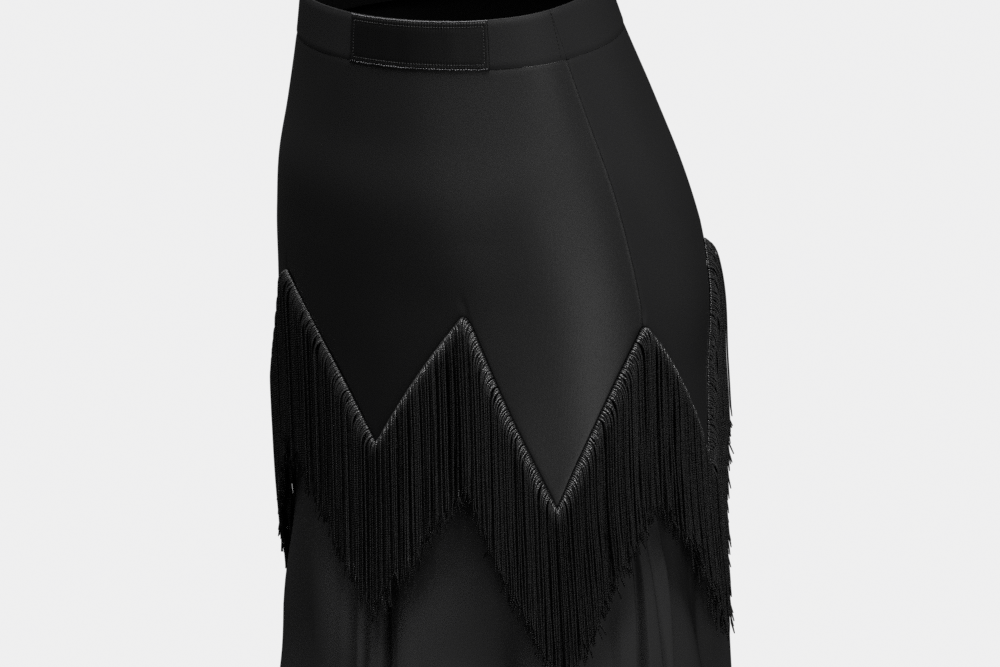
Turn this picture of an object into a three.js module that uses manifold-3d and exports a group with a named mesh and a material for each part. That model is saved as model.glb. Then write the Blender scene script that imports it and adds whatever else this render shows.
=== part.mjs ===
// A fringed dance skirt in its worn, filled-out form: waistband, hip yoke with a zigzag lower edge,
// fringe along the zigzag seam, and a fluted lower skirt with an open hem.
// Millimetres, +Z up. The front faces -Y and the wearer's left is +X.
// The origin is the centre of the waist opening, level with the top of the waistband.
// Angles run round the body from the centre front (0) over the wearer's left side seam (90).
import * as THREE from 'three';
import { mergeVertices } from 'three/addons/utils/BufferGeometryUtils.js';
import Module from 'manifold-3d';

// Main sizes
const SKIRT_LENGTH = 880;
const BAND_HEIGHT = 33;
const FRINGE_LENGTH = 120;

// Cloth
const SEAM_GAP = 0.3;
const BAND_THICKNESS = 2.4;
const YOKE_THICKNESS = 1.5;
const SKIRT_THICKNESS = 1.5;

// The waist dips to the front; the dip has faded out at the hips.
const WAIST_TILT = Math.tan(THREE.MathUtils.degToRad(8.9));
const TILT_DEPTH = 200;

// Level sections of the form: height, half width, depth to the front and to the back of the axis,
// and how far the side seam lies behind the axis.
const SECTIONS = [
  { z: 0, half: 122, front: 101, back: 70, side: -34 },
  { z: -33, half: 131, front: 103, back: 81, side: -27 },
  { z: -80, half: 145, front: 108.5, back: 102, side: -17 },
  { z: -120, half: 157.5, front: 115, back: 119, side: -9 },
  { z: -160, half: 166, front: 114.5, back: 134, side: -2 },
  { z: -200, half: 171, front: 112, back: 146, side: 4 },
  { z: -250, half: 173, front: 109.5, back: 148, side: 5 },
  { z: -320, half: 174, front: 108, back: 153, side: 7 },
  { z: -400, half: 174, front: 108, back: 157, side: 17 },
  { z: -480, half: 177, front: 110, back: 160, side: 25 },
  { z: -600, half: 194, front: 131, back: 174, side: 27 },
  { z: -740, half: 224, front: 164, back: 199, side: 27 },
  { z: -880, half: 260, front: 202, back: 232, side: 27 },
];

// Corners of the zigzag seam, peak and valley in turn, from one side seam round the front and the
// back to the same seam again. The bow is how far the middle of the next leg lies above its chord.
const ZIGZAG = [
  { angle: -90, z: -205, bow: 9 },
  { angle: -61, z: -323, bow: -4 },
  { angle: -29.5, z: -196, bow: 14 },
  { angle: 10.5, z: -294, bow: 5 },
  { angle: 38, z: -197, bow: -4 },
  { angle: 60.5, z: -323, bow: 9 },
  { angle: 90, z: -205, bow: 10 },
  { angle: 119, z: -314, bow: 32 },
  { angle: 134, z: -168, bow: 6 },
  { angle: 180, z: -300, bow: 6 },
  { angle: 226, z: -168, bow: 32 },
  { angle: 241, z: -314, bow: 10 },
  { angle: 270, z: -205, bow: 0 },
];

// Flutes of the lower skirt at the hem: the angle of each crest, how far it stands out, and how far
// the trough after it falls in. They grow from nothing just above the lowest valleys of the seam.
const FLUTE_TOP = -290;
const FLUTE_GROWTH = 1.3;
const FLUTES = [
  { angle: -168, out: 25, into: 22 },
  { angle: -147, out: 21, into: 25 },
  { angle: -125, out: 28, into: 21 },
  { angle: -103, out: 22, into: 25 },
  { angle: -82, out: 26, into: 20 },
  { angle: -61, out: 22, into: 27 },
  { angle: -37, out: 16, into: 22 },
  { angle: -13, out: 20, into: 18 },
  { angle: 5, out: 20, into: 15 },
  { angle: 21, out: 25, into: 23 },
  { angle: 42, out: 21, into: 26 },
  { angle: 63, out: 22, into: 15 },
  { angle: 77, out: 29, into: 25 },
  { angle: 99, out: 20, into: 23 },
  { angle: 121, out: 28, into: 23 },
  { angle: 143, out: 22, into: 26 },
  { angle: 168, out: 27, into: 22 },
];

// Fringe: a narrow strip along the seam, just outside the wall, and locks that hang from it.
const STRIP_WIDTH = 4.6;
const STRIP_CLEAR = 0.7;
const STRIP_THICKNESS = 2.2;
const LOCK_PITCH = 4.7;
const LOCK_WIDTH = 3.3;
const LOCK_DEPTH = 2.4;
const LOCK_STAND_OFF = 5;
const LOCK_BEND = 9;
const LOCK_ROOT_SIZE = 0.7;
const LOCK_TIP_SIZE = 0.75;

// The locks' lengths step through this many values, spread over the ragged depth.
const LOCK_RAGGED = 8;
const LOCK_LENGTHS = 5;
const LOCK_LENGTH_STRIDE = 7;

// Label patch: its ends as angles round the band, its margin to the band's edges and its thickness.
const LABEL_ANGLES = [0, 55];
const LABEL_MARGIN = 0.8;
const LABEL_THICKNESS = 0.9;

// Fineness of the faceted walls
const BAND_STEP = 5;
const SEAM_STEP = 3.4;
const TANGENT_STEP = 0.5;
const RUN_STEP = 1;
const YOKE_ROWS = 5;
const SKIRT_ROWS = 8;

const wasm = await Module();
wasm.setup();

const { degToRad, clamp, lerp } = THREE.MathUtils;

// A smooth value between the rows of a table, read by height.
function tableValue(rows, key, z) {
  const last = rows.length - 1;
  let i = rows.findIndex((row) => row.z < z) - 1;
  i = i < 0 ? (z > rows[0].z ? 0 : last - 1) : i;
  const slope = (k) => {
    const a = rows[Math.max(k - 1, 0)];
    const b = rows[Math.min(k + 1, last)];
    return (b[key] - a[key]) / (b.z - a.z);
  };
  const span = rows[i + 1].z - rows[i].z;
  const t = clamp((z - rows[i].z) / span, 0, 1);
  const t2 = t * t;
  const t3 = t2 * t;
  return (2 * t3 - 3 * t2 + 1) * rows[i][key] + (t3 - 2 * t2 + t) * span * slope(i)
    + (3 * t2 - 2 * t3) * rows[i + 1][key] + (t3 - t2) * span * slope(i + 1);
}

// How far the flutes move the wall out at an angle and height.
function fluteOffset(angle, z) {
  const turn = THREE.MathUtils.euclideanModulo(angle - FLUTES[0].angle, 360) + FLUTES[0].angle;
  const i = FLUTES.findLastIndex((flute) => flute.angle <= turn);
  const here = FLUTES[i];
  const next = FLUTES[(i + 1) % FLUTES.length];
  const end = next.angle + (i + 1 === FLUTES.length ? 360 : 0);
  const along = (turn - here.angle) / (end - here.angle);
  const crest = (1 + Math.cos(2 * Math.PI * along)) / 2;
  const wave = crest * lerp(here.out, next.out, along) - (1 - crest) * here.into;
  const depth = clamp((FLUTE_TOP - z) / (FLUTE_TOP + SKIRT_LENGTH), 0, 1);
  return wave * depth ** FLUTE_GROWTH;
}

// A point of the plain form, before flutes, tilt and thickness.
function formPoint(angle, z) {
  const turn = degToRad(angle);
  const side = tableValue(SECTIONS, 'side', z);
  const reach = Math.cos(turn) > 0
    ? tableValue(SECTIONS, 'front', z) + side
    : tableValue(SECTIONS, 'back', z) - side;
  return new THREE.Vector2(tableValue(SECTIONS, 'half', z) * Math.sin(turn), side - reach * Math.cos(turn));
}

// The level outward direction of a closed curve of points at one height.
function outward(curve, angle, z) {
  const tangent = curve(angle + TANGENT_STEP, z).sub(curve(angle - TANGENT_STEP, z)).normalize();
  return new THREE.Vector2(tangent.y, -tangent.x);
}

function flutedPoint(angle, z) {
  const out = outward(formPoint, angle, z);
  return formPoint(angle, z).addScaledVector(out, fluteOffset(angle, z));
}

// A point of the outer face of the cloth, moved out by an offset.
function clothPoint(angle, z, offset) {
  const out = outward(flutedPoint, angle, z);
  const flat = flutedPoint(angle, z).addScaledVector(out, offset);
  const tilt = WAIST_TILT * clamp(1 + z / TILT_DEPTH, 0, 1);
  return new THREE.Vector3(flat.x, flat.y, z + flat.y * tilt);
}

// Height of the zigzag seam at an angle between -90 and 270.
function seamHeight(angle) {
  const i = clamp(ZIGZAG.findLastIndex((corner) => corner.angle <= angle), 0, ZIGZAG.length - 2);
  const along = (angle - ZIGZAG[i].angle) / (ZIGZAG[i + 1].angle - ZIGZAG[i].angle);
  return lerp(ZIGZAG[i].z, ZIGZAG[i + 1].z, along) + ZIGZAG[i].bow * 4 * along * (1 - along);
}

// How much taller than wide a band along the seam is: the longer, the steeper its legs are there.
function seamStretch(angle) {
  const [before, here, after] = [-RUN_STEP, 0, RUN_STEP].map((step) => {
    const turn = clamp(angle + step, ZIGZAG[0].angle, ZIGZAG[ZIGZAG.length - 1].angle);
    return { z: seamHeight(turn), level: formPoint(turn, seamHeight(angle)) };
  });
  const slopes = [before, after].map((side) => {
    const run = side.level.distanceTo(here.level);
    return run > 0 ? (side.z - here.z) / run : 0;
  });
  return Math.max(...slopes.map((slope) => Math.hypot(1, slope)));
}

function geometryFrom(points, triangles) {
  const geometry = new THREE.BufferGeometry();
  geometry.setAttribute('position', new THREE.Float32BufferAttribute(points.flatMap((p) => p.toArray()), 3));
  geometry.setIndex(triangles);
  geometry.computeVertexNormals();
  return geometry;
}

// A closed wall between an outer and an inner face. The columns are angles, top(angle) and
// bottom(angle) are heights, and the offsets are those of the outer and the inner face.
function wall({ columns, rows, top, bottom, outer, inner }) {
  const points = [];
  for (const offset of [outer, inner]) {
    for (let row = 0; row <= rows; row += 1) {
      for (const angle of columns) {
        points.push(clothPoint(angle, lerp(top(angle), bottom(angle), row / rows), offset));
      }
    }
  }
  const width = columns.length;
  const at = (face, row, column) => (face * (rows + 1) + row) * width + column;
  const triangles = [];
  const quad = (a, b, c, d) => triangles.push(a, b, c, a, c, d);
  for (let row = 0; row < rows; row += 1) {
    for (let column = 0; column < width - 1; column += 1) {
      quad(at(0, row, column), at(0, row + 1, column), at(0, row + 1, column + 1), at(0, row, column + 1));
      quad(at(1, row, column), at(1, row, column + 1), at(1, row + 1, column + 1), at(1, row + 1, column));
    }
    quad(at(0, row, 0), at(1, row, 0), at(1, row + 1, 0), at(0, row + 1, 0));
    quad(at(0, row, width - 1), at(0, row + 1, width - 1), at(1, row + 1, width - 1), at(1, row, width - 1));
  }
  for (let column = 0; column < width - 1; column += 1) {
    quad(at(0, 0, column), at(0, 0, column + 1), at(1, 0, column + 1), at(1, 0, column));
    quad(at(0, rows, column), at(1, rows, column), at(1, rows, column + 1), at(0, rows, column + 1));
  }
  return geometryFrom(points, triangles);
}

// Half of the seam gap as an angle at the side seams.
const SIDE_GAP = THREE.MathUtils.radToDeg(SEAM_GAP / 2 / SECTIONS[0].half);

// The two halves between the side seams, with the ends drawn back from the seam by the gap.
const HALVES = { front: [-90, 90], back: [90, 270] };

function drawBackEnds(columns) {
  const ends = [...columns];
  ends[0] += SIDE_GAP;
  ends[ends.length - 1] -= SIDE_GAP;
  return ends;
}

function evenColumns(from, to, step) {
  const count = Math.ceil((to - from) / step);
  return Array.from({ length: count + 1 }, (_, i) => lerp(from, to, i / count));
}

// Columns of a half that meet every corner of the zigzag.
function zigzagColumns([from, to]) {
  const corners = ZIGZAG.map((corner) => corner.angle).filter((angle) => angle >= from && angle <= to);
  const legs = corners.slice(1).map((angle, i) => evenColumns(corners[i], angle, SEAM_STEP));
  return drawBackEnds([from, ...legs.flatMap((leg) => leg.slice(1))]);
}

function waistband(half) {
  return wall({
    columns: drawBackEnds(evenColumns(...half, BAND_STEP)),
    rows: 1,
    top: () => 0,
    bottom: () => -BAND_HEIGHT,
    outer: 0,
    inner: -BAND_THICKNESS,
  });
}

function labelPatch() {
  return wall({
    columns: evenColumns(...LABEL_ANGLES, BAND_STEP),
    rows: 1,
    top: () => -LABEL_MARGIN,
    bottom: () => LABEL_MARGIN - BAND_HEIGHT,
    outer: SEAM_GAP + LABEL_THICKNESS,
    inner: SEAM_GAP,
  });
}

function yoke(half) {
  return wall({
    columns: zigzagColumns(half),
    rows: YOKE_ROWS,
    top: () => -BAND_HEIGHT - SEAM_GAP,
    bottom: seamHeight,
    outer: 0,
    inner: -YOKE_THICKNESS,
  });
}

function lowerSkirt(half) {
  return wall({
    columns: zigzagColumns(half),
    rows: SKIRT_ROWS,
    top: (angle) => seamHeight(angle) - SEAM_GAP * seamStretch(angle),
    bottom: () => -SKIRT_LENGTH,
    outer: 0,
    inner: -SKIRT_THICKNESS,
  });
}

function solidFrom(geometry) {
  const bare = geometry.clone();
  bare.deleteAttribute('normal');
  const merged = mergeVertices(bare);
  const { Manifold, Mesh } = wasm;
  return new Manifold(new Mesh({
    numProp: 3,
    vertProperties: new Float32Array(merged.attributes.position.array),
    triVerts: new Uint32Array(merged.index.array),
  }));
}

function geometryOf(solid) {
  const mesh = solid.getMesh();
  const geometry = new THREE.BufferGeometry();
  geometry.setAttribute('position', new THREE.BufferAttribute(mesh.vertProperties, 3));
  geometry.setIndex(new THREE.BufferAttribute(mesh.triVerts, 1));
  geometry.computeVertexNormals();
  return geometry;
}

// One lock of fringe: a three-sided strand from inside the strip, over its bend and straight down.
function lock(angle, length) {
  const seam = seamHeight(angle);
  const root = STRIP_CLEAR + STRIP_THICKNESS / 2;
  const path = [
    { drop: 0, offset: root, size: LOCK_ROOT_SIZE },
    { drop: LOCK_BEND, offset: LOCK_STAND_OFF, size: 1 },
    { drop: length, offset: LOCK_STAND_OFF, size: LOCK_TIP_SIZE },
  ];
  const points = path.flatMap(({ drop, offset, size }) => {
    const centre = clothPoint(angle, seam - drop, offset);
    const out = centre.clone().sub(clothPoint(angle, seam - drop, offset - 1)).normalize();
    const along = new THREE.Vector3(-out.y, out.x, 0).normalize();
    const corner = (across, outside) => centre.clone()
      .addScaledVector(along, across * LOCK_WIDTH * size)
      .addScaledVector(out, outside * LOCK_DEPTH * size);
    return [corner(-0.5, -0.5), corner(0.5, -0.5), corner(0, 0.5)];
  });
  const triangles = [];
  for (let ring = 0; ring < path.length - 1; ring += 1) {
    for (let side = 0; side < 3; side += 1) {
      const [a, b] = [ring * 3 + side, ring * 3 + ((side + 1) % 3)];
      triangles.push(a, b + 3, a + 3, a, b, b + 3);
    }
  }
  const end = (path.length - 1) * 3;
  triangles.push(0, 2, 1, end, end + 1, end + 2);
  return geometryFrom(points, triangles);
}

// Level distance round the cloth between two angles, halfway up the leg of the seam between them.
function levelRun(from, to) {
  const z = (seamHeight(from) + seamHeight(to)) / 2;
  const points = evenColumns(from, to, RUN_STEP).map((angle) => flutedPoint(angle, z));
  return points.slice(1).reduce((sum, point, i) => sum + point.distanceTo(points[i]), 0);
}

function fringe(half) {
  let joined = solidFrom(wall({
    columns: zigzagColumns(half),
    rows: 1,
    top: (angle) => seamHeight(angle) + (STRIP_WIDTH / 2) * seamStretch(angle),
    bottom: (angle) => seamHeight(angle) - (STRIP_WIDTH / 2) * seamStretch(angle),
    outer: STRIP_CLEAR + STRIP_THICKNESS,
    inner: STRIP_CLEAR,
  }));
  const corners = ZIGZAG.filter(({ angle }) => angle >= half[0] && angle <= half[1]);
  for (let leg = 0; leg < corners.length - 1; leg += 1) {
    const [from, to] = [corners[leg].angle, corners[leg + 1].angle];
    const count = Math.round(levelRun(from, to) / LOCK_PITCH);
    for (let i = 0; i < count; i += 1) {
      const ragged = ((i * LOCK_LENGTH_STRIDE + leg) % LOCK_LENGTHS) / (LOCK_LENGTHS - 1);
      const angle = lerp(from, to, (i + 0.5) / count);
      joined = joined.add(solidFrom(lock(angle, FRINGE_LENGTH - ragged * LOCK_RAGGED)));
    }
  }
  return geometryOf(joined);
}

const jersey = new THREE.MeshStandardMaterial({ color: 0x1c1c1e, roughness: 0.75, metalness: 0 });
const lightCloth = new THREE.MeshStandardMaterial({ color: 0x202022, roughness: 0.7, metalness: 0 });
const threads = new THREE.MeshStandardMaterial({ color: 0x121213, roughness: 0.5, metalness: 0 });
const satin = new THREE.MeshStandardMaterial({ color: 0x0d0d0e, roughness: 0.4, metalness: 0 });

const skirt = new THREE.Group();

function addPiece(name, geometry, material) {
  const mesh = new THREE.Mesh(geometry, material);
  mesh.name = name;
  skirt.add(mesh);
}

for (const [name, half] of Object.entries(HALVES)) {
  addPiece(`waistband_${name}`, waistband(half), jersey);
  addPiece(`yoke_${name}`, yoke(half), jersey);
  addPiece(`skirt_${name}`, lowerSkirt(half), lightCloth);
  addPiece(`fringe_${name}`, fringe(half), threads);
}
addPiece('label_patch', labelPatch(), satin);

export default skirt;
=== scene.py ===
# Looks of the fringed dance skirt: jersey waistband and yoke, bare label patch, fluted lower skirt
# and chainette fringe. The tables of the form are those of the solids, in millimetres, and meshes
# are made in metres. Angles run from the centre front over the wearer's left side seam, at 90.
import math

import bpy
import numpy as np
from mathutils import Matrix, Vector


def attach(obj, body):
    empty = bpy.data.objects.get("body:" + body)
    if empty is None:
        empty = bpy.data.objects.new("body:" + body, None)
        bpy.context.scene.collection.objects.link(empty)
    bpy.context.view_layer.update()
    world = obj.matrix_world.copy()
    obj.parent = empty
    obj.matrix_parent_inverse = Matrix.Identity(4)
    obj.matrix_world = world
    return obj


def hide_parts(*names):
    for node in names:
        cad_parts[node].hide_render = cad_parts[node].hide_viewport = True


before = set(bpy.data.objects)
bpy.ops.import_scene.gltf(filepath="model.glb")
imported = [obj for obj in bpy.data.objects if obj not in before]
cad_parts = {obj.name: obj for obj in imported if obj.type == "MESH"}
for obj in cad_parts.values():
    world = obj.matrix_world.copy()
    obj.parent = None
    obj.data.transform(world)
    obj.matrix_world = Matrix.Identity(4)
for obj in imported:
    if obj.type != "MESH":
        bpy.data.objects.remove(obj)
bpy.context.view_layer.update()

MM = 0.001
SEED = 11

# The form of the solids
SKIRT_LENGTH = 880.0
BAND_HEIGHT = 33.0
FRINGE_LENGTH = 120.0
SEAM_GAP = 0.3
WAIST_TILT = math.tan(math.radians(8.9))
TILT_DEPTH = 200.0

# Angles of the two halves
HALVES = {"front": (-90.0, 90.0), "back": (90.0, 270.0)}

# Level sections: height, half width, depth to the front, depth to the back, side seam behind the axis
HEIGHT, HALF, FRONT, BACK, SIDE = range(5)
SECTIONS = np.array([
    (0, 122, 101, 70, -34),
    (-33, 131, 103, 81, -27),
    (-80, 145, 108.5, 102, -17),
    (-120, 157.5, 115, 119, -9),
    (-160, 166, 114.5, 134, -2),
    (-200, 171, 112, 146, 4),
    (-250, 173, 109.5, 148, 5),
    (-320, 174, 108, 153, 7),
    (-400, 174, 108, 157, 17),
    (-480, 177, 110, 160, 25),
    (-600, 194, 131, 174, 27),
    (-740, 224, 164, 199, 27),
    (-880, 260, 202, 232, 27),
], dtype=float)

# Corners of the zigzag seam: angle, height, and how far the next leg's middle lies above its chord
ZIGZAG = np.array([
    (-90, -205, 9),
    (-61, -323, -4),
    (-29.5, -196, 14),
    (10.5, -294, 5),
    (38, -197, -4),
    (60.5, -323, 9),
    (90, -205, 10),
    (119, -314, 32),
    (134, -168, 6),
    (180, -300, 6),
    (226, -168, 32),
    (241, -314, 10),
    (270, -205, 0),
], dtype=float)

# Flutes at the hem: angle of the crest, how far it stands out, how far the next trough falls in
FLUTE_TOP = -290.0
FLUTE_GROWTH = 1.3
FLUTES = np.array([
    (-168, 25, 22),
    (-147, 21, 25),
    (-125, 28, 21),
    (-103, 22, 25),
    (-82, 26, 20),
    (-61, 22, 27),
    (-37, 16, 22),
    (-13, 20, 18),
    (5, 20, 15),
    (21, 25, 23),
    (42, 21, 26),
    (63, 22, 15),
    (77, 29, 25),
    (99, 20, 23),
    (121, 28, 23),
    (143, 22, 26),
    (168, 27, 22),
], dtype=float)

# Folds of the lower skirt below the fringe: angle and offset of each crest and trough, in order
FOLDS_TOP, FOLDS_FULL = -250.0, -440.0
FOLD_GROWTH = 1.3
FOLDS = np.array([
    (-86, -8),
    (-78, 6),
    (-60, -10),
    (-41, 6),
    (-24, -6),
    (-8, 5),
    (-3.9, 3),
    (-1.5, -2),
    (0.9, 3),
    (2.9, -3),
    (4.9, 3.5),
    (7.1, 3),
    (8.9, -8),
    (10.7, 3),
    (15.3, 7),
    (41, -14),
    (56, 8),
    (75, -4),
    (83.8, -2),
    (85.4, -9),
    (87, 0),
    (94.5, 5),
    (98.5, -10),
    (105, -5),
    (118, -8),
    (132, 0),
    (149, -11),
    (163, 7),
    (170, 0),
    (172.2, -9),
    (174.6, 0),
    (177, 0),
    (179.4, -11),
    (182.6, 5),
    (189, 9),
    (208, -12),
    (226, 6),
    (238, 0),
    (240.4, -10),
    (243, 4),
    (262, -8),
], dtype=float)
# Ranges of angle where narrow folds lie
NARROW_FOLDS = ((0, 17), (79, 99), (170, 184), (238, 248))

# Heights between which the flutes take over from the folds, and the share of the folds that is lost
FLUTES_TAKE_OVER = (-500.0, -640.0)
FOLDS_LOST = 0.8

# Where folds wander as they fall: angle, half width, shift in degrees, and the heights it grows between
DRIFTS = (
    (6, 16, 3.2, -375, -440),
    (82, 8, -3.0, -370, -440),
    (98, 9, -3.0, -370, -440),
)
# The height where that ends, and the height over which it fades out above
DRIFTS_END, DRIFTS_FADE = -800, 200

# Where the yoke lies fuller, or flatter where negative: angle and spread in degrees, how far, and the
# heights it grows between
SWELLS = (
    (45.0, 10.0, 4.5, -150, -270),
    (-50.0, 9.0, 2.0, -150, -270),
    (143.0, 26.0, -6.5, -160, -245),
    (217.0, 26.0, -6.5, -160, -245),
)

# Cloth thickness, the band's face over the form, and the soft roll of edges into the seams
CLOTH_THICKNESS = 1.2
BAND_THICKNESS = 2.4
BAND_FACE = 0.4
EDGE_ROLL = 0.75
EDGE_SOFTNESS = 1.6
# Shares of that roll at the yoke's top edge, and at the band's bottom and sides
YOKE_TOP_ROLL = 0.4
BAND_BOTTOM_ROLL, BAND_SIDE_ROLL = 0.9, 0.3
YOKE_OVERLAP = 1.5

# How uneven each cloth is, in millimetres
UNEVEN = {"band": 0.15, "yoke": 0.35, "skirt": 0.5, "label": 0.12}

# Millimetres round the form's side for a radian, as a share of its half width
SIDE_CURVE = 0.7

# Grids of points: degrees between columns, rows, and the columns nearest to a side seam
BAND_STEP, CLOTH_STEP, FOLD_STEP = 1.5, 0.8, 0.3
BAND_ROWS, YOKE_ROWS, SKIRT_ROWS = 16, 56, 80
NEAR_SIDE = np.array([0.35, 0.7, 1.1])
# The finer columns keep this far from the side seams and from the others
FINE_MARGIN, LEAST_STEP = 1.5, 0.12
# Rows of the lower skirt lie closer together at the top by this power
SKIRT_ROWS_SHAPE = 1.1

# How far the yoke's lower edge turns in at the fringe, and over what height
YOKE_TURN, YOKE_TURN_HEIGHT = 0.3, 5

# Creases above the seam's peaks: the side each leans to, the height in which it leans a degree, the form's
# radius there, depth, half width, height of the middle and half height
PEAK_PULLS = (1, -1, 1, -1, 1)
CREASE_LEAN, CREASE_RADIUS = 12, 170
CREASE_DEPTH, CREASE_HALF_WIDTH = 0.55, 1.6
CREASE_MIDDLE, CREASE_REACH = 5, 7

# How far the lower skirt tucks in behind the fringe, and how far below the seam that is full and ends
TUCK, TUCK_FULL, TUCK_END = 9.5, 25, 155
# How far it lies back everywhere, and further right at the seam
SET_BACK = 1.2
SEAM_DIP, SEAM_DIP_HEIGHT = 1.5, 4
# The share of all this that is lost below the fringe, from where and over what height
TUCK_LOST, TUCK_LOST_FROM, TUCK_LOST_OVER = 0.9, 200, 150

# Label patch: angles of its ends, the lean of the far one, its heights and faces
LABEL_FROM, LABEL_TO = 0.0, 55.0
LABEL_LEAN = 3.0
LABEL_MM_A_DEGREE = 1.96
LABEL_TOP, LABEL_BOTTOM = -0.4, -32.6
LABEL_FACE, LABEL_BACK = 1.5, 0.45
LABEL_ROWS, LABEL_COLUMNS = 24, 221
# How far its stitches draw it down and pucker it, and how wide each shows
DRAWN_DOWN, DRAWN_WIDTH = 0.35, 1.1
PUCKER, PUCKER_WIDTH = 0.22, 4.5

# Stitches: their pitch, length and distance from the label's edges, and how far their ends dip
LABEL_STITCH, LABEL_STITCH_PITCH = 1.5, 2.1
LABEL_STITCH_INSET, END_ROW_INSET = 3.4, 4.5
OVERSEWN_STITCH, OVERSEWN_PITCH = 1.2, 1.9
EDGING_POINTS = 220
STITCH_DIP = 1.6
# Stitched joins of the band: stitch and pitch, lowest height and lean away from the side seam
JOIN_STITCH, JOIN_PITCH = 1.7, 2.5
JOIN_BOTTOM = -31
BAND_SEAM_LEAN = 3.4
# A direction that no thread runs in
OFF_THREADS = [0.21, 0.13, 0.97]

# Strands of the fringe
STRAND_PITCH = 1.3
STRAND_HALF_WIDTH = 0.8
STRAND_HALF_DEPTH = 0.62
STRAND_SIDES = 5
STRAND_POINTS = 26
STRAND_LAYERS = 4
# Points at which the seam is measured
SEAM_POINTS = 3601
# Width of their first, second and last ring
STRAND_TAPER = (1.05, 1.1, 0.5)
# Strands lean with the seam's slope except this close to its corners
CORNER_REACH = 9
# Bend over the seam: of the innermost layer and more for each next, its limits, and how sharply it turns
BEND, BEND_A_LAYER = 3.7, 1.1
BEND_LIMITS = (3, 7.4)
BEND_SHAPE = 1.6
# Heading at the root, aslant, up and out, and the one in which strands hang
ROOT_HEADING = (0.62, -0.2, 0.72)
HANG_HEADING = np.array([0.0, -1.0, -0.012])
# How far out the ends hang: in all, to the wearer's left, for a layer and less for a bend
SETTLED, SETTLED_MORE_LEFT = 3.4, 2.4
SETTLED_A_LAYER, SETTLED_A_BEND = 0.6, 0.64
# The innermost layer hangs further in; and the least offset from the form, of that layer and of the rest
FIRST_LAYER_IN = 5
FIRST_LAYER_NEAREST, NEAREST = -3.0, 1.0
# The swell of the yoke under them fades by this share towards their ends
SWELL_LOST = 0.3
# Offset of the root from the form
ROOT_OFFSET = 0.1
# Where along a strand the innermost layer starts to hang further in, and over what length
FURTHER_IN_FROM, FURTHER_IN_OVER = 8, 30
# Strands wave slightly to the side and outwards, and stray more towards their ends by this power
WAVE_LENGTHS = (50, 120)
WAVE_SIDEWAYS, WAVE_OUTWARDS = 0.35, 0.4
STRAY_SHAPE = 1.5
# Strands on a slope spread to even places: how much for a bend below the middle one, over what length
EVENED, MIDDLE_BEND, EVENED_OVER = 0.55, 6.2, 25
# Over what length from the root a bundle's lift comes in, and the length of the end that curls
LIFT_OVER = 30
END_LENGTH = 10
# Points lie closer together at the root by this power
POINTS_SHAPE = 1.5
# How much each strand strays on its own
STRAY = {
    "place": 0.25,
    "bend": 0.3,
    "length": 2.6,
    "sway": 0.35,
    "end_curl": 1.8,
    "end_lift": 1.1,
    "twist": 0.2,
}
# And in bundles: least and greatest width of a bundle, and how much it strays
BUNDLES = {"bend": (3, 8, 0.7), "length": (4, 12, 2.2), "sway": (5, 12, 0.35), "lift": (4, 10, 0.25)}
MOST_BUNDLES = 600

# Chain-stitched thread: stitch, painted colours, and how the relief grows and the painted root highlight
# fades along a strand
STITCH_PITCH = 1.6
# Painted shade in the stitches' grooves, and painted glints on their crests
THREAD_GROOVE_PAINTED_SHADE = (0.0006, 0.0006, 0.0006)
THREAD_CREST_PAINTED_GLINT = (0.02, 0.02, 0.0205)
STITCH_OPENS = (3.0, 16.0, 0.2 / 2.7, 1 / 2.7)
# Painted highlight of the roll over the seam: it lightens each strand's first 4 mm and fades out by 14 mm
ROOT_PAINTED_HIGHLIGHT = (4.0, 14.0, 0.38, 0.0)

# Degrees over which the seam's peaks are rounded
CORNER_ROUNDING = (-1.4, -0.7, 0, 0.7, 1.4)

# Floor and backdrop, in metres
FLOOR_REACH, FLOOR_LEVEL = 40.0, -1.02
BACKDROP_RADIUS = 30
PAPER = (0.86, 0.86, 0.862)

# Lights: azimuth and elevation in degrees, size in metres and power in watts
LIGHTS = {
    "key": (80, -16, (1.2, 2.4), 39),
    "front": (15, 5, (1.2, 1.2), 6),
    "high_front": (30, 50, (1.2, 1.2), 9),
    "overhead_right": (60, 72, (1.2, 1.2), 160),
    "overhead_left": (-40, 65, (1.2, 1.2), 52),
    "behind": (150, 12, (0.8, 2.0), 12),
}
LIGHT_DISTANCE = 3.0
LIGHT_TARGET = (0, 0, -0.25)
WORLD_STRENGTH = 0.025

# Camera, from the fit of the form to the photograph
CAMERA_AZIMUTH = math.radians(53.43)
CAMERA_YAW = math.radians(-0.256)
CAMERA_PITCH = math.radians(11.985)
CAMERA_DISTANCE = 3.2
CAMERA_HEIGHT = 0.4393
CAMERA_LENS = 176.5
SENSOR_WIDTH = 36.0


def table_value(column, z):
    """A smooth value between the rows of the section table, read by height."""
    heights, values = SECTIONS[:, HEIGHT], SECTIONS[:, column]
    last = len(heights) - 1
    rows = np.arange(last + 1)
    before, after = np.maximum(rows - 1, 0), np.minimum(rows + 1, last)
    slopes = (values[after] - values[before]) / (heights[after] - heights[before])
    i = np.clip(np.searchsorted(-heights, -z, side="right") - 1, 0, last - 1)
    span = heights[i + 1] - heights[i]
    t = np.clip((z - heights[i]) / span, 0, 1)
    return (
        (2 * t**3 - 3 * t**2 + 1) * values[i]
        + (t**3 - 2 * t**2 + t) * span * slopes[i]
        + (3 * t**2 - 2 * t**3) * values[i + 1]
        + (t**3 - t**2) * span * slopes[i + 1]
    )


def ramp(z, high, low):
    """Share that grows from 0 at a height to 1 at a lower one."""
    return np.clip((high - z) / (high - low), 0, 1)


def between_rows(table, angle):
    """Rows before and after an angle in a table that goes all round, and the share of the way between."""
    turn = (angle - table[0, 0]) % 360 + table[0, 0]
    before = np.clip(np.searchsorted(table[:, 0], turn, side="right") - 1, 0, len(table) - 1)
    after = (before + 1) % len(table)
    end = table[after, 0] + np.where(after == 0, 360, 0)
    return before, after, (turn - table[before, 0]) / (end - table[before, 0])


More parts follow.
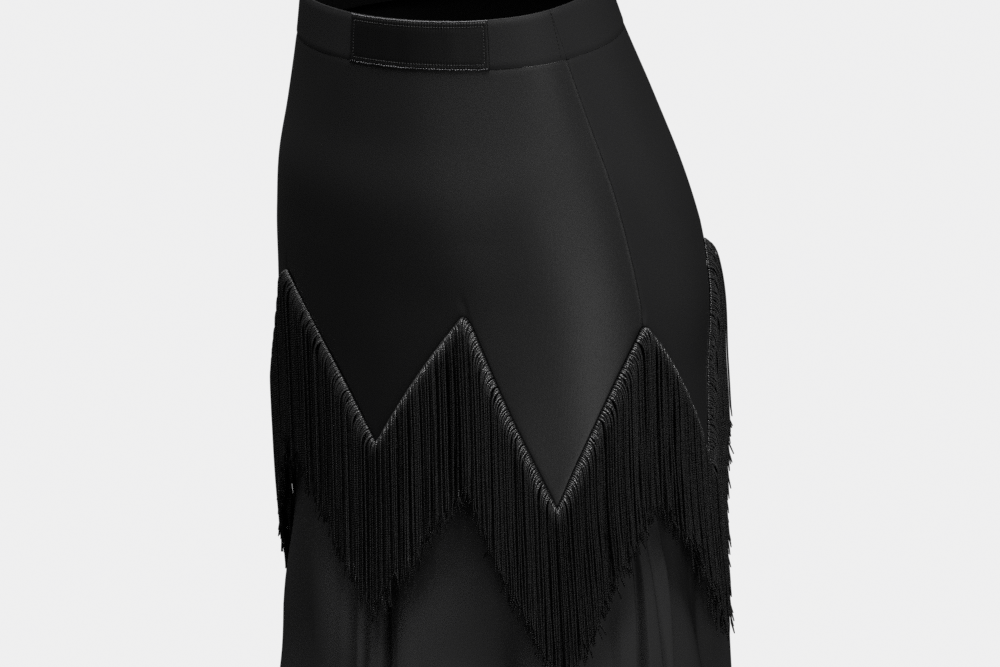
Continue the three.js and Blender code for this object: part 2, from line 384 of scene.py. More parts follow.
def flute_offset(angle, z):
    """How far the flutes move the cloth out."""
    before, after, along = between_rows(FLUTES, angle)
    crest = (1 + np.cos(2 * np.pi * along)) / 2
    out = (1 - along) * FLUTES[before, 1] + along * FLUTES[after, 1]
    grown = ramp(z, FLUTE_TOP, -SKIRT_LENGTH) ** FLUTE_GROWTH
    return (crest * out - (1 - crest) * FLUTES[before, 2]) * grown * ramp(z, *FLUTES_TAKE_OVER)


def form_point(angle, z):
    """Level x and y of the plain form."""
    turn = np.radians(angle)
    side = table_value(SIDE, z)
    reach = np.where(np.cos(turn) > 0, table_value(FRONT, z) + side, table_value(BACK, z) - side)
    return np.stack([table_value(HALF, z) * np.sin(turn), side - reach * np.cos(turn)], -1)


def outward(curve, angle, z, step=0.5):
    tangent = curve(angle + step, z) - curve(angle - step, z)
    tangent /= np.linalg.norm(tangent, axis=-1, keepdims=True)
    return np.stack([tangent[..., 1], -tangent[..., 0]], -1)


def fluted_point(angle, z):
    return form_point(angle, z) + outward(form_point, angle, z) * flute_offset(angle, z)[..., None]


def cloth(angle, z, offset):
    """Points of the cloth's outer face in metres, moved out by an offset."""
    angle, z, offset = np.broadcast_arrays(*(np.asarray(x, dtype=float) for x in (angle, z, offset)))
    flat = fluted_point(angle, z) + outward(fluted_point, angle, z) * offset[..., None]
    rise = z + flat[..., 1] * WAIST_TILT * np.clip(1 + z / TILT_DEPTH, 0, 1)
    return np.concatenate([flat, rise[..., None]], -1) * MM


def sharp_seam_height(angle):
    """Height of the zigzag seam at an angle between -90 and 270, with sharp corners."""
    corners = ZIGZAG[:, 0]
    i = np.clip(np.searchsorted(corners, angle, side="right") - 1, 0, len(corners) - 2)
    along = (angle - corners[i]) / (corners[i + 1] - corners[i])
    chord = (1 - along) * ZIGZAG[i, 1] + along * ZIGZAG[i + 1, 1]
    return chord + ZIGZAG[i, 2] * 4 * along * (1 - along)


def seam_height(angle):
    """Height of the zigzag seam, its peaks rounded over a few millimetres."""
    near = [np.clip(angle + shift, -90, 270) for shift in CORNER_ROUNDING]
    return np.minimum(sharp_seam_height(angle), sum(sharp_seam_height(a) for a in near) / len(near))


def fold_offset(angle, z):
    """How far the folds below the seam move the cloth; further down the flutes take over from them."""
    before, after, along = between_rows(FOLDS, angle)
    ease = (1 - np.cos(np.pi * along)) / 2
    share = ramp(z, FOLDS_TOP, FOLDS_FULL) ** FOLD_GROWTH * (1 - FOLDS_LOST * ramp(z, *FLUTES_TAKE_OVER))
    return ((1 - ease) * FOLDS[before, 1] + ease * FOLDS[after, 1]) * share


def swell(angle, z):
    """How far the yoke stands out beside its front valleys, or in where the back fringe draws it flat."""
    lift = 0
    for centre, spread, height, top, full in SWELLS:
        away = (angle - centre + 180) % 360 - 180
        lift = lift + height * np.exp(-(away / spread) ** 2) * ramp(z, top, full)
    return lift


def unevenness(angle, z, height):
    """A slow wandering of the cloth's face, the same each run."""
    turn = np.radians(angle)
    waves = (
        np.sin(5 * turn + z / 37 + 1.3)
        + np.sin(9 * turn - z / 23 + 0.4)
        + 0.7 * np.sin(14 * turn + z / 61 + 2.1)
        + 0.5 * np.sin(3 * turn + z / 13 + 5.0)
    )
    return height * waves / 2


def columns(half, step):
    """Angles across a half that meet every corner of the zigzag, ends drawn back by half the seam gap."""
    low, high = HALVES[half]
    corners = ZIGZAG[(ZIGZAG[:, 0] > low) & (ZIGZAG[:, 0] < high), 0]
    even = np.linspace(low, high, round((high - low) / step) + 1)
    apart = np.min(np.abs(even[:, None] - corners[None, :]), axis=1) > step / 3
    angles = np.sort(np.concatenate([even[apart], corners]))
    gap = math.degrees(SEAM_GAP / 2 / SECTIONS[0, HALF])
    start, end = angles[:1] + gap, angles[-1:] - gap
    return np.concatenate([start, low + NEAR_SIDE, angles[2:-2], high - NEAR_SIDE[::-1], end])


def spaced(rows):
    """Steps from 0 to 1, closer at both ends."""
    return 0.5 - 0.5 * np.cos(np.linspace(0, np.pi, rows + 1))


def edge_roll(distance):
    """How far the cloth sinks towards a seam at a distance from it."""
    return EDGE_ROLL * np.exp(-(distance / EDGE_SOFTNESS) ** 2)


def level_run(angle, z):
    """Level distance along a row of angles from its middle, for a grid of points."""
    flat = fluted_point(angle, z)
    steps = np.linalg.norm(np.diff(flat, axis=1), axis=-1)
    run = np.concatenate([np.zeros((len(flat), 1)), np.cumsum(steps, axis=1)], axis=1)
    return run - run[:, run.shape[1] // 2][:, None]


def mesh_object(name, vertices, faces, uv, material):
    """A smooth mesh object with one UV map in millimetres, given per vertex."""
    mesh = bpy.data.meshes.new(name)
    mesh.from_pydata(vertices.reshape(-1, 3).tolist(), [], faces)
    mesh.polygons.foreach_set("use_smooth", [True] * len(mesh.polygons))
    loops = np.empty(len(mesh.loops), dtype=np.int32)
    mesh.loops.foreach_get("vertex_index", loops)
    layer = mesh.uv_layers.new(name="Cloth")
    layer.data.foreach_set("uv", uv.reshape(-1, 2)[loops].ravel().astype(np.float32))
    mesh.materials.append(material)
    mesh.validate()
    mesh.update()
    piece = bpy.data.objects.new(name, mesh)
    bpy.context.scene.collection.objects.link(piece)
    return piece


def grid_faces(rows, width):
    """Faces of a closed wall of two grids, outer then inner, each of rows + 1 by width points."""
    index = np.arange(2 * (rows + 1) * width).reshape(2, rows + 1, width)
    out, back = index
    quads = [
        np.stack([out[:-1, :-1], out[1:, :-1], out[1:, 1:], out[:-1, 1:]], -1).reshape(-1, 4),
        np.stack([back[:-1, :-1], back[:-1, 1:], back[1:, 1:], back[1:, :-1]], -1).reshape(-1, 4),
        np.stack([out[:-1, 0], back[:-1, 0], back[1:, 0], out[1:, 0]], -1),
        np.stack([out[:-1, -1], out[1:, -1], back[1:, -1], back[:-1, -1]], -1),
        np.stack([out[0, :-1], out[0, 1:], back[0, 1:], back[0, :-1]], -1),
        np.stack([out[-1, :-1], back[-1, :-1], back[-1, 1:], out[-1, 1:]], -1),
    ]
    return np.concatenate(quads).tolist()


def shell(name, angles, heights, outer, inner, material):
    """A closed thin wall on the form, from a grid of heights and its two faces' offsets."""
    angle = np.broadcast_to(angles, heights.shape)
    faces = grid_faces(heights.shape[0] - 1, heights.shape[1])
    points = np.stack([cloth(angle, heights, outer), cloth(angle, heights, inner)])
    uv = np.stack([level_run(angle, heights), heights], -1)
    return mesh_object(name, points, faces, np.stack([uv, uv]), material)


def side_distance(angles, heights, half):
    """Distance in millimetres from the nearer side seam."""
    low, high = HALVES[half]
    away = np.minimum(np.abs(angles - low), np.abs(high - angles))
    return np.radians(away) * table_value(HALF, heights) * SIDE_CURVE


# Materials

def shader(name, base, roughness, specular):
    """A new material with its nodes, links and Principled shader."""
    material = bpy.data.materials.new(name)
    material.use_nodes = True
    nodes, links = material.node_tree.nodes, material.node_tree.links
    surface = nodes["Principled BSDF"]
    surface.inputs["Base Color"].default_value = (*base, 1)
    surface.inputs["Roughness"].default_value = roughness
    surface.inputs["Specular IOR Level"].default_value = specular
    return material, nodes, links, surface


def add_node(nodes, kind, **values):
    """A new node with the given properties."""
    node = nodes.new(kind)
    for key, value in values.items():
        setattr(node, key, value)
    return node


def maths(nodes, links):
    """A function that adds one Math node for numbers or sockets, and gives its output."""

    def calc(operation, first, second=None):
        node = add_node(nodes, "ShaderNodeMath", operation=operation)
        for socket, value in zip(node.inputs, (first, second)):
            if isinstance(value, (int, float)):
                socket.default_value = value
            elif value is not None:
                links.new(value, socket)
        return node.outputs[0]

    return calc


def colour_mix(nodes, links, factor, dark, light):
    """A colour between dark and light, by a factor."""
    ramp_node = add_node(nodes, "ShaderNodeMix", data_type="RGBA")
    links.new(factor, ramp_node.inputs["Factor"])
    ramp_node.inputs["A"].default_value = (*dark, 1)
    ramp_node.inputs["B"].default_value = (*light, 1)
    return ramp_node.outputs["Result"]


def noise(nodes, links, vector, scale, detail):
    """A noise texture's value."""
    texture = add_node(nodes, "ShaderNodeTexNoise")
    texture.inputs["Scale"].default_value = scale
    texture.inputs["Detail"].default_value = detail
    links.new(vector, texture.inputs["Vector"])
    return texture.outputs["Fac"]


def map_range(nodes, links, value, limits):
    """A value mapped from the first two limits to the last two."""
    node = add_node(nodes, "ShaderNodeMapRange")
    for socket, limit in zip(node.inputs[1:5], limits):
        socket.default_value = limit
    links.new(value, node.inputs["Value"])
    return node.outputs[0]


def add_bump(nodes, links, surface, height, strength, distance):
    """A bump on the shader's normal, its distance in metres."""
    bump = add_node(nodes, "ShaderNodeBump")
    bump.inputs["Strength"].default_value = strength
    bump.inputs["Distance"].default_value = distance
    links.new(height, bump.inputs["Height"])
    links.new(bump.outputs["Normal"], surface.inputs["Normal"])


def cloth_uv(nodes):
    """The cloth's UV map, in millimetres."""
    return add_node(nodes, "ShaderNodeUVMap", uv_map="Cloth").outputs["UV"]


def split(nodes, links, vector):
    """X and Y of a vector."""
    place = add_node(nodes, "ShaderNodeSeparateXYZ")
    links.new(vector, place.inputs[0])
    return place.outputs["X"], place.outputs["Y"]


def knit_material(name, dark, light, roughness, specular, wale, course):
    """Fine jersey: stitches of a wale by a course in millimetres, with grain and slow variation."""
    material, nodes, links, surface = shader(name, light, roughness, specular)
    calc = maths(nodes, links)
    uv = cloth_uv(nodes)
    x, y = split(nodes, links, uv)
    across = calc("MULTIPLY", x, 2 * math.pi / wale)
    along = calc("MULTIPLY", y, 2 * math.pi / course)
    lean = calc("ABSOLUTE", calc("SINE", calc("MULTIPLY", across, 0.5)))
    stitch = calc("SINE", calc("ADD", along, calc("MULTIPLY", lean, 2.5)))
    height = calc("ADD", calc("MULTIPLY", stitch, 0.5), calc("COSINE", across))
    grain = noise(nodes, links, uv, scale=1.6, detail=2.0)
    relief = calc("ADD", calc("MULTIPLY", height, 0.1), grain)
    add_bump(nodes, links, surface, relief, strength=0.35, distance=0.00025)
    speck = noise(nodes, links, uv, scale=0.9, detail=3.0)
    cloud = noise(nodes, links, uv, scale=0.02, detail=2.0)
    tone = calc("ADD", calc("MULTIPLY", speck, 0.7), calc("MULTIPLY", cloud, 0.3))
    links.new(colour_mix(nodes, links, tone, dark, light), surface.inputs["Base Color"])
    return material


def chainette_material():
    """Glossy chain-stitched thread: two columns of stitches half a stitch apart, drawn tight at the root, its
    colour painted with glints, groove shade and a root highlight.
    """
    material, nodes, links, surface = shader("fringe_thread", (0.01, 0.01, 0.011), 0.3, 0.37)
    calc = maths(nodes, links)
    x, y = split(nodes, links, cloth_uv(nodes))
    around = calc("MULTIPLY", x, 4 * math.pi)
    along = calc("MULTIPLY", y, 2 * math.pi / STITCH_PITCH)
    stitch = calc("SINE", calc("ADD", along, around))
    column = calc("SINE", calc("ADD", around, -math.pi / 2))
    both = calc("ADD", stitch, calc("MULTIPLY", column, -0.35))
    height = calc("ADD", calc("MULTIPLY", both, map_range(nodes, links, y, STITCH_OPENS)), 0.5)
    add_bump(nodes, links, surface, height, strength=1.0, distance=0.00038)
    # Colour of painted glints on the stitch crests, painted shade in the grooves, and the painted root
    # highlight
    painted_glints_and_highlight = calc("ADD", calc("POWER", height, 4), map_range(nodes, links, y, ROOT_PAINTED_HIGHLIGHT))
    links.new(colour_mix(nodes, links, painted_glints_and_highlight, THREAD_GROOVE_PAINTED_SHADE, THREAD_CREST_PAINTED_GLINT), surface.inputs["Base Color"])
    return material


def plain_material(name, base, roughness, specular):
    """Smooth cloth or thread with a fine grain."""
    material, nodes, links, surface = shader(name, base, roughness, specular)
    grain = noise(nodes, links, cloth_uv(nodes), scale=2.0, detail=3.0)
    add_bump(nodes, links, surface, grain, strength=0.3, distance=0.0002)
    return material


jersey = knit_material(
    "jersey", dark=(0.001, 0.001, 0.0011), light=(0.004, 0.004, 0.0042),
    roughness=0.5, specular=0.4, wale=0.8, course=0.7,
)
matte_jersey = knit_material(
    "jersey_matte", dark=(0.004, 0.004, 0.0042), light=(0.010, 0.010, 0.0104),
    roughness=0.62, specular=0.18, wale=0.8, course=0.7,
)
skirt_cloth = knit_material(
    "skirt_cloth", dark=(0.014, 0.014, 0.0143), light=(0.026, 0.026, 0.0265),
    roughness=0.6, specular=0.1, wale=0.7, course=0.6,
)
satin = plain_material("satin_label", (0.002, 0.002, 0.0021), 0.45, 0.22)
label_thread = plain_material("label_thread", (0.012, 0.012, 0.0124), 0.5, 0.25)
# Pale thread: a painted highlight of the binding's folded edge along the label's top, and pale oversewn
# stitches along its bottom
pale_thread_and_painted_highlight = plain_material("label_pale_stitches_and_painted_highlight", (0.12, 0.12, 0.125), 0.6, 0.3)
dark_thread = plain_material("dark_thread", (0.002, 0.002, 0.002), 0.8, 0.1)
thread = chainette_material()


# Pieces

def waistband(half):
    """One half of the doubled band, its edges rolled into the seams."""
    angles = columns(half, BAND_STEP)
    heights = -BAND_HEIGHT * spaced(BAND_ROWS)[:, None] + 0 * angles
    top_roll = edge_roll(-heights)
    sides = edge_roll(side_distance(angles, heights, half))
    roll = top_roll + BAND_BOTTOM_ROLL * edge_roll(BAND_HEIGHT + heights) + BAND_SIDE_ROLL * sides
    uneven = unevenness(angles, heights, UNEVEN["band"])
    outer = BAND_FACE - roll + uneven
    inner = -BAND_THICKNESS + top_roll + uneven
    return shell(f"waistband_{half}_cloth", angles, heights, outer, inner, matte_jersey)


def pull_creases(angles, heights):
    """Short creases where the seam's peaks pull at the cloth above them."""
    depth = 0
    for peak, side in zip(ZIGZAG[2:-1:2, 0], PEAK_PULLS):
        above = heights - sharp_seam_height(np.array(peak))
        away = np.radians(angles - peak - side * above / CREASE_LEAN) * CREASE_RADIUS
        across = np.exp(-(away / CREASE_HALF_WIDTH) ** 2)
        depth = depth + CREASE_DEPTH * across * np.exp(-((above - CREASE_MIDDLE) / CREASE_REACH) ** 2)
    return depth


def yoke(half):
    """One half of the smooth yoke, from the band to a little past the zigzag seam."""
    angles = columns(half, CLOTH_STEP)
    top = -BAND_HEIGHT - SEAM_GAP / 6
    bottom = seam_height(angles) - YOKE_OVERLAP
    heights = top + (bottom - top) * spaced(YOKE_ROWS)[:, None]
    from_seam = heights - bottom
    sides = edge_roll(side_distance(angles, heights, half))
    roll = YOKE_TOP_ROLL * edge_roll(top - heights) + edge_roll(from_seam) + sides
    drawn_in = YOKE_TURN * np.exp(-(from_seam / YOKE_TURN_HEIGHT) ** 2) + pull_creases(angles, heights)
    uneven = unevenness(angles, heights, UNEVEN["yoke"])
    outer = swell(angles, heights) + uneven - roll - drawn_in
    cover = jersey if half == "front" else matte_jersey
    return shell(f"yoke_{half}_cloth", angles, heights, outer, outer - CLOTH_THICKNESS, cover)


def drifted(angles, heights):
    """Angles of the lower skirt, whose narrow folds wander a little as they fall."""
    shift = 0
    fading = np.clip((heights - DRIFTS_END) / DRIFTS_FADE, 0, 1)
    for centre, half_width, most, high, low in DRIFTS:
        grown = ramp(heights, high, low) * fading
        shift = shift + most * grown * np.clip(1.6 - 1.6 * np.abs(angles - centre) / half_width, 0, 1)
    return angles + shift


def skirt_columns(half):
    """Angles of the lower skirt, closer together over its narrow folds; its two halves meet."""
    angles = columns(half, CLOTH_STEP)
    low, high = HALVES[half]
    angles[0], angles[-1] = low, high
    fine = np.concatenate([np.arange(start, end, FOLD_STEP) for start, end in NARROW_FOLDS])
    fine = fine[(fine > low + FINE_MARGIN) & (fine < high - FINE_MARGIN)]
    apart = np.min(np.abs(fine[:, None] - angles[None, :]), axis=1) > LEAST_STEP
    return np.sort(np.concatenate([angles, fine[apart]]))


def tuck(below):
    """How far the lower skirt lies back at a distance below the seam."""
    back = TUCK * np.exp(-(below / TUCK_END) ** 6) * np.clip(below / TUCK_FULL, 0, 1)
    back = back + SET_BACK + SEAM_DIP * np.exp(-(below / SEAM_DIP_HEIGHT) ** 2)
    return back * (1 - TUCK_LOST * np.clip((below - TUCK_LOST_FROM) / TUCK_LOST_OVER, 0, 1))


def lower_skirt(half):
    """One half of the lower skirt: tucked behind the fringe, folded below it, fluted at the hem."""
    angles = skirt_columns(half)
    top = seam_height(angles) - 2 * SEAM_GAP
    down = np.linspace(0, 1, SKIRT_ROWS + 1)[:, None] ** SKIRT_ROWS_SHAPE
    heights = top + (-SKIRT_LENGTH - top) * down
    roll = edge_roll(side_distance(angles, heights, half)) + tuck(top - heights)
    turned = drifted(angles, heights)
    uneven = unevenness(turned, heights, UNEVEN["skirt"])
    outer = fold_offset(angles + 0 * heights, heights) + uneven - roll
    return shell(f"skirt_{half}_cloth", turned, heights, outer, outer - CLOTH_THICKNESS, skirt_cloth)


def label_angle(share, height):
    """Angle on the label: its ends lean a little, so that it stays a rectangle on the narrowing band."""
    return LABEL_FROM + share * (LABEL_TO - LABEL_FROM) + share * LABEL_LEAN * (1 + height / BAND_HEIGHT)


def label_run(angle):
    """Millimetres along the label from its front end."""
    return (angle - LABEL_FROM) * LABEL_MM_A_DEGREE


def label_patch():
    """The bare patch on the band, which its stitches draw down and pucker."""
    share = np.linspace(0, 1, LABEL_COLUMNS)
    heights = LABEL_TOP + (LABEL_BOTTOM - LABEL_TOP) * spaced(LABEL_ROWS)[:, None] + 0 * share
    angles = label_angle(share, heights)
    length = label_run(LABEL_TO)
    from_ends = np.minimum(share, 1 - share) * length
    from_edges = np.minimum(LABEL_TOP - heights, heights - LABEL_BOTTOM)
    rim = np.minimum(from_edges, from_ends)
    along = np.where(from_ends < from_edges, heights, share * length)
    drawn = DRAWN_DOWN * np.exp(-((rim - LABEL_STITCH_INSET) / DRAWN_WIDTH) ** 2)
    wave = np.cos(2 * np.pi * along / LABEL_STITCH_PITCH)
    pucker = PUCKER * wave * np.exp(-(rim / PUCKER_WIDTH) ** 2)
    uneven = unevenness(angles * 3, heights, UNEVEN["label"])
    outer = LABEL_FACE - drawn + pucker - edge_roll(rim * 2) + uneven
    return shell("label_patch_cloth", angles, heights, outer, LABEL_BACK + 0 * outer, satin)


def tubes(name, paths, radius, material, sides=5):
    """Round threads along paths of points in metres."""
    rings, uv = [], []
    around = 2 * np.pi * np.arange(sides) / sides
    faces, first = [], 0
    for path in paths:
        path = np.asarray(path)
        tangent = np.gradient(path, axis=0)
        tangent /= np.linalg.norm(tangent, axis=-1, keepdims=True)
        wide = np.cross(tangent, OFF_THREADS)
        wide /= np.linalg.norm(wide, axis=-1, keepdims=True)
        deep = np.cross(wide, tangent)
        spokes = wide[:, None] * np.cos(around)[:, None] + deep[:, None] * np.sin(around)[:, None]
        rings.append((path[:, None] + spokes * radius * MM).reshape(-1, 3))
        run = np.concatenate([[0], np.cumsum(np.linalg.norm(np.diff(path, axis=0), axis=1))]) / MM
        uv.append(np.stack(np.broadcast_arrays(around * radius, run[:, None]), -1).reshape(-1, 2))
        index = first + np.arange(len(path) * sides).reshape(len(path), sides)
        following = np.roll(index, -1, axis=1)
        quads = np.stack([index[:-1], following[:-1], following[1:], index[1:]], -1)
        faces += quads.reshape(-1, 4).tolist() + [index[0, ::-1].tolist(), index[-1].tolist()]
        first += index.size
    return mesh_object(name, np.concatenate(rings), faces, np.concatenate(uv), material)


def dash(angle, height, offset, length, along_height=False):
    """A short stitch that dips into the cloth at both ends."""
    t = np.linspace(-0.5, 0.5, 5)
    sunk = offset - STITCH_DIP * t**2
    if along_height:
        return cloth(angle + 0 * t, height + t * length, sunk)
    return cloth(angle + t * length / LABEL_MM_A_DEGREE, height + 0 * t, sunk)


def label_stitches():
    """One row of stitches along each edge of the label."""
    length = label_run(LABEL_TO)
    count = int((length - 2 * LABEL_STITCH_INSET) / LABEL_STITCH_PITCH)
    shares = (LABEL_STITCH_INSET + (np.arange(count) + 0.5) * LABEL_STITCH_PITCH) / length
    offset = LABEL_FACE - 0.1
    paths = []
    for height in (LABEL_TOP - LABEL_STITCH_INSET, LABEL_BOTTOM + LABEL_STITCH_INSET):
        for share in shares:
            paths.append(dash(label_angle(share, height), height, offset, LABEL_STITCH))
    for share in (LABEL_STITCH_INSET / length, 1 - LABEL_STITCH_INSET / length):
        for height in np.arange(LABEL_TOP - END_ROW_INSET, LABEL_BOTTOM + END_ROW_INSET, -LABEL_STITCH_PITCH):
            paths.append(dash(label_angle(share, height), height, offset, LABEL_STITCH, True))
    return tubes("label_stitches", paths, 0.27, label_thread)


def label_pale_stitches_and_painted_highlight():
    """Pale edge: a full pale thread along the top, a painted highlight of the binding's folded edge, and
    short pale oversewn stitches along the bottom.
    """
    rng = np.random.default_rng(SEED)
    share = np.linspace(0, 1, EDGING_POINTS)
    rough = rng.normal(0, 0.14, EDGING_POINTS)
    # This pale top thread is a painted highlight where the binding's folded edge catches the light
    top = cloth(label_angle(share, LABEL_TOP), LABEL_TOP + 0.35 + rough, LABEL_FACE - 0.6)
    paths = [top]
    for place in np.arange(1.5, label_run(LABEL_TO), OVERSEWN_PITCH):
        height = LABEL_BOTTOM + 0.5 + rng.normal(0, 0.15)
        turn = label_angle(place / label_run(LABEL_TO), height)
        paths.append(dash(turn, height, LABEL_FACE - 0.25, OVERSEWN_STITCH))
    return tubes("label_pale_stitches_and_painted_highlight", paths, 0.3, pale_thread_and_painted_highlight)


def band_stitches():
    """Stitched joins of the waistband beside the side seams."""
    paths = []
    for seam, toward in ((90, -1), (270, 1)):
        for height in np.arange(-JOIN_PITCH, JOIN_BOTTOM, -JOIN_PITCH):
            angle = seam + toward * BAND_SEAM_LEAN * -height / BAND_HEIGHT
            paths.append(dash(angle, height, BAND_FACE + 0.02, JOIN_STITCH, True))
    return tubes("waistband_stitches", paths, 0.3, dark_thread)


def bundles(rng, place, low, high, spread):
    """Neighbouring strands sewn in one bundle share a random value; bundles are low to high wide."""
    edges = np.cumsum(rng.uniform(low, high, MOST_BUNDLES))
    return rng.normal(0, spread, MOST_BUNDLES)[np.searchsorted(edges, place)]


def seam_run(half):
    """The seam of one half in fine steps: angles, run along it, slopes, level millimetres for a degree,
    and the corners' places on the run."""
    low, high = HALVES[half]
    table = np.linspace(low, high, SEAM_POINTS)
    seam = np.concatenate([form_point(table, seam_height(table)), seam_height(table)[:, None]], -1)
    steps = np.diff(seam, axis=0)
    level = np.concatenate([[0], np.cumsum(np.linalg.norm(steps[:, :2], axis=1))])
    run = np.concatenate([[0], np.cumsum(np.linalg.norm(steps, axis=1))])
    corners = np.interp(ZIGZAG[:, 0], table, run)[(ZIGZAG[:, 0] >= low) & (ZIGZAG[:, 0] <= high)]
    return table, run, np.gradient(seam[:, 2], level), np.gradient(level, table), corners


def bent_path(along, bend, lean):
    """Path of each strand over the seam and down: along the seam, up and out, in millimetres."""
    turn = np.exp(-(along / bend[:, None]) ** BEND_SHAPE)
    aslant, up, out = ROOT_HEADING
    start = np.stack([aslant * lean, up * np.sqrt(1 - lean**2), out + 0 * lean], -1)
    heading = turn[..., None] * start[:, None, :] + (1 - turn[..., None]) * HANG_HEADING
    heading /= np.linalg.norm(heading, axis=-1, keepdims=True)
    moves = (heading[:, 1:] + heading[:, :-1]) / 2 * np.diff(along, axis=1)[..., None]
    return np.concatenate([np.zeros((len(along), 1, 3)), np.cumsum(moves, axis=1)], axis=1)


def strand_paths(half, rng):
    """Centre lines of the strands of one half: points, steps outwards from them, and the run along them."""
    table, run, slopes, level_degree, corners = seam_run(half)
    count = int(run[-1] / STRAND_PITCH)
    place = (np.arange(count) + 0.5) * run[-1] / count + rng.normal(0, STRAY["place"], count)
    root = np.interp(place, run, table)
    slope = np.interp(place, run, slopes)
    degree = np.interp(place, run, level_degree)
    corner = np.min(np.abs(place[:, None] - corners[None, :]), axis=1)
    lean = slope / np.hypot(1, slope) * np.clip(corner / CORNER_REACH, 0, 1)

    layer = rng.permutation(np.arange(count) % STRAND_LAYERS)
    bend = BEND + BEND_A_LAYER * layer + bundles(rng, place, *BUNDLES["bend"])
    bend = np.clip(bend + rng.normal(0, STRAY["bend"], count), *BEND_LIMITS)
    length = FRINGE_LENGTH + rng.normal(0, STRAY["length"], count) + bundles(rng, place, *BUNDLES["length"])
    along = length[:, None] * np.linspace(0, 1, STRAND_POINTS) ** POINTS_SHAPE
    path = bent_path(along, bend, lean)

    share = along / length[:, None]
    wave = rng.uniform(*WAVE_LENGTHS, count)[:, None]
    phase = rng.uniform(0, 2 * np.pi, count)[:, None]
    swing = 2 * np.pi * along / wave + phase
    end = np.clip((along - (length[:, None] - END_LENGTH)) / END_LENGTH, 0, 1) ** 2
    sway = bundles(rng, place, *BUNDLES["sway"]) + rng.normal(0, STRAY["sway"], count)
    sideways = sway[:, None] * share**STRAY_SHAPE + WAVE_SIDEWAYS * share * np.sin(swing)
    evened = EVENED * lean * (MIDDLE_BEND - bend)
    sideways += evened[:, None] * np.clip(along / EVENED_OVER, 0, 1)
    sideways += end * rng.normal(0, STRAY["end_curl"], count)[:, None]
    outwards = WAVE_OUTWARDS * share * np.sin(0.8 * swing + 2)
    outwards = outwards + end * np.abs(rng.normal(0, STRAY["end_lift"], count))[:, None]
    settled = SETTLED + SETTLED_MORE_LEFT * np.sin(np.radians(root))
    settled = settled + SETTLED_A_LAYER * layer - SETTLED_A_BEND * bend
    settled = np.where(layer == 0, settled - FIRST_LAYER_IN, settled)
    outwards += settled[:, None] * share**STRAY_SHAPE
    outwards += bundles(rng, place, *BUNDLES["lift"])[:, None] * np.clip(along / LIFT_OVER, 0, 1)

    angle = root[:, None] + (path[..., 0] + sideways) / degree[:, None]
    z = seam_height(root)[:, None] - SEAM_GAP + path[..., 1]
    nearest = np.where(layer == 0, FIRST_LAYER_NEAREST, NEAREST)[:, None]
    further = np.clip((along - FURTHER_IN_FROM) / FURTHER_IN_OVER, 0, 1)
    limit = NEAREST + (nearest - NEAREST) * further
    offset = np.maximum(ROOT_OFFSET + path[..., 2] + outwards, np.minimum(ROOT_OFFSET + along, limit))
    offset += swell(root, seam_height(root))[:, None] * (1 - SWELL_LOST * share)
    centre = cloth(angle, z, offset)
    return centre, cloth(angle, z, offset + 1) - centre, along


def fringe(half):
    """Strands of one half: tubes along their centre lines, wider than deep, in two pieces."""
    rng = np.random.default_rng(SEED + list(HALVES).index(half))
    centre, out, along = strand_paths(half, rng)
    count = len(centre)
    tangent = np.gradient(centre, axis=1)
    tangent /= np.linalg.norm(tangent, axis=-1, keepdims=True)
    wide = np.cross(tangent, out)
    wide /= np.linalg.norm(wide, axis=-1, keepdims=True)
    deep = np.cross(wide, tangent)
    taper = np.ones(STRAND_POINTS)
    taper[0], taper[1], taper[-1] = STRAND_TAPER
    around = 2 * np.pi * np.arange(STRAND_SIDES) / STRAND_SIDES
    turned = (around + rng.normal(0, STRAY["twist"], count)[:, None])[:, None, :, None]
    ring = wide[:, :, None, :] * np.cos(turned) * STRAND_HALF_WIDTH
    ring = ring + deep[:, :, None, :] * np.sin(turned) * STRAND_HALF_DEPTH
    points = centre[:, :, None, :] + ring * MM * taper[None, :, None, None]
    stitch = along + rng.uniform(0, STITCH_PITCH, count)[:, None]
    uv = np.stack(np.broadcast_arrays(around / (2 * np.pi), stitch[..., None]), -1)

    made = []
    for part in range(2):
        chosen = slice(part, None, 2)
        own = points[chosen]
        index = np.arange(own.size // 3).reshape(own.shape[:3])
        following = np.roll(index, -1, axis=2)
        quads = [index[:, :-1], following[:, :-1], following[:, 1:], index[:, 1:]]
        faces = np.stack(quads, -1).reshape(-1, 4).tolist()
        faces += index[:, 0, ::-1].tolist() + index[:, -1].tolist()
        made.append(mesh_object(f"fringe_{half}_strands_{part + 1}", own, faces, uv[chosen], thread))
    return made


cloths, fringes = {}, {}
for half in HALVES:
    cloths[f"waistband_{half}"] = (waistband(half), "jersey")
    cloths[f"yoke_{half}"] = (yoke(half), "jersey")
    cloths[f"skirt_{half}"] = (lower_skirt(half), "skirt_cloth")
    fringes[half] = fringe(half)
cloths["label_patch"] = (label_patch(), "satin_label")
trims = {"satin_label": [label_stitches(), label_pale_stitches_and_painted_highlight()], "jersey": [band_stitches()]}

for node, (piece, slot) in cloths.items():
    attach(piece, "root")
    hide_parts(node)
for half, strands in fringes.items():
    for piece in strands:
        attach(piece, "root")
        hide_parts(f"fringe_{half}")

for slot, threads in trims.items():
    for piece in threads:
        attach(piece, "root")


# Floor, light and camera

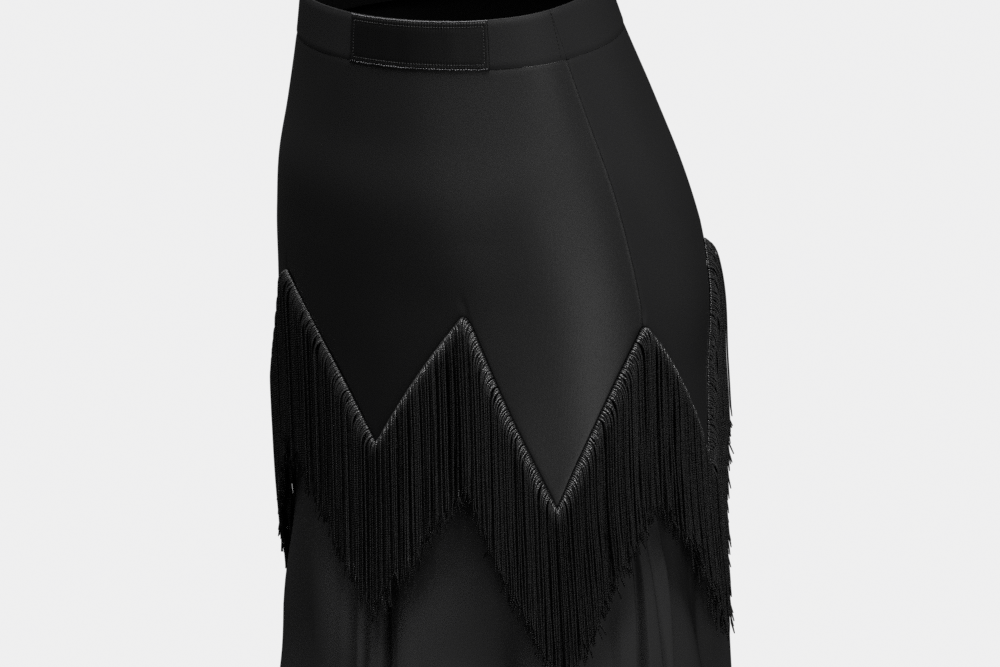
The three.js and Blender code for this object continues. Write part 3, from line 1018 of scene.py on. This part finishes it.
def staging():
    """A pale floor and backdrop that light no cloth, and a faint even light."""
    floor_mesh = bpy.data.meshes.new("floor")
    square = ((-1, -1), (1, -1), (1, 1), (-1, 1))
    corners = [(x * FLOOR_REACH, y * FLOOR_REACH, FLOOR_LEVEL) for x, y in square]
    floor_mesh.from_pydata(corners, [], [(0, 1, 2, 3)])
    floor = bpy.data.objects.new("floor", floor_mesh)
    bpy.context.scene.collection.objects.link(floor)
    bpy.ops.mesh.primitive_uv_sphere_add(segments=48, ring_count=24, radius=BACKDROP_RADIUS)
    backdrop = bpy.context.object
    backdrop.name = "backdrop"
    material, _, _, surface = shader("pale_paper", (0, 0, 0), 0.9, 0)
    surface.inputs["Emission Color"].default_value = (*PAPER, 1)
    surface.inputs["Emission Strength"].default_value = 1.0
    for piece in (floor, backdrop):
        piece.data.materials.append(material)
        piece.visible_diffuse = False
        piece.visible_glossy = False
        piece.visible_shadow = False
    world = bpy.data.worlds.new("studio")
    bpy.context.scene.world = world
    world.use_nodes = True
    world.node_tree.nodes["Background"].inputs["Color"].default_value = (1, 1, 1, 1)
    world.node_tree.nodes["Background"].inputs["Strength"].default_value = WORLD_STRENGTH


def area_light(name, azimuth, elevation, size, power):
    """A rectangular lamp that looks at the skirt."""
    light = bpy.data.lights.new(name, "AREA")
    light.shape = "RECTANGLE"
    light.size, light.size_y = size
    light.energy = power
    lamp = bpy.data.objects.new(name, light)
    bpy.context.scene.collection.objects.link(lamp)
    a, e = math.radians(azimuth), math.radians(elevation)
    away = Vector((math.sin(a) * math.cos(e), -math.cos(a) * math.cos(e), math.sin(e)))
    lamp.visible_camera = False
    lamp.location = Vector(LIGHT_TARGET) + away * LIGHT_DISTANCE
    lamp.rotation_euler = away.to_track_quat("Z", "Y").to_euler()


def camera():
    """The photograph's camera."""
    lens = bpy.data.cameras.new("camera")
    lens.lens, lens.sensor_width = CAMERA_LENS, SENSOR_WIDTH
    lens.clip_end = 200
    eye = bpy.data.objects.new("camera", lens)
    bpy.context.scene.collection.objects.link(eye)
    facing = CAMERA_AZIMUTH + CAMERA_YAW
    forward = Vector((
        -math.sin(facing) * math.cos(CAMERA_PITCH),
        math.cos(facing) * math.cos(CAMERA_PITCH),
        -math.sin(CAMERA_PITCH),
    ))
    right = Vector((math.cos(facing), math.sin(facing), 0))
    up = right.cross(forward)
    eye.matrix_world = Matrix((right, up, -forward)).transposed().to_4x4()
    eye.location = (
        CAMERA_DISTANCE * math.sin(CAMERA_AZIMUTH),
        -CAMERA_DISTANCE * math.cos(CAMERA_AZIMUTH),
        CAMERA_HEIGHT,
    )
    bpy.context.scene.camera = eye


staging()
for name, (azimuth, elevation, size, power) in LIGHTS.items():
    area_light(name, azimuth, elevation, size, power)
camera()
bpy.context.scene.view_settings.view_transform = "Standard"
bpy.context.scene.cycles.use_denoising = False
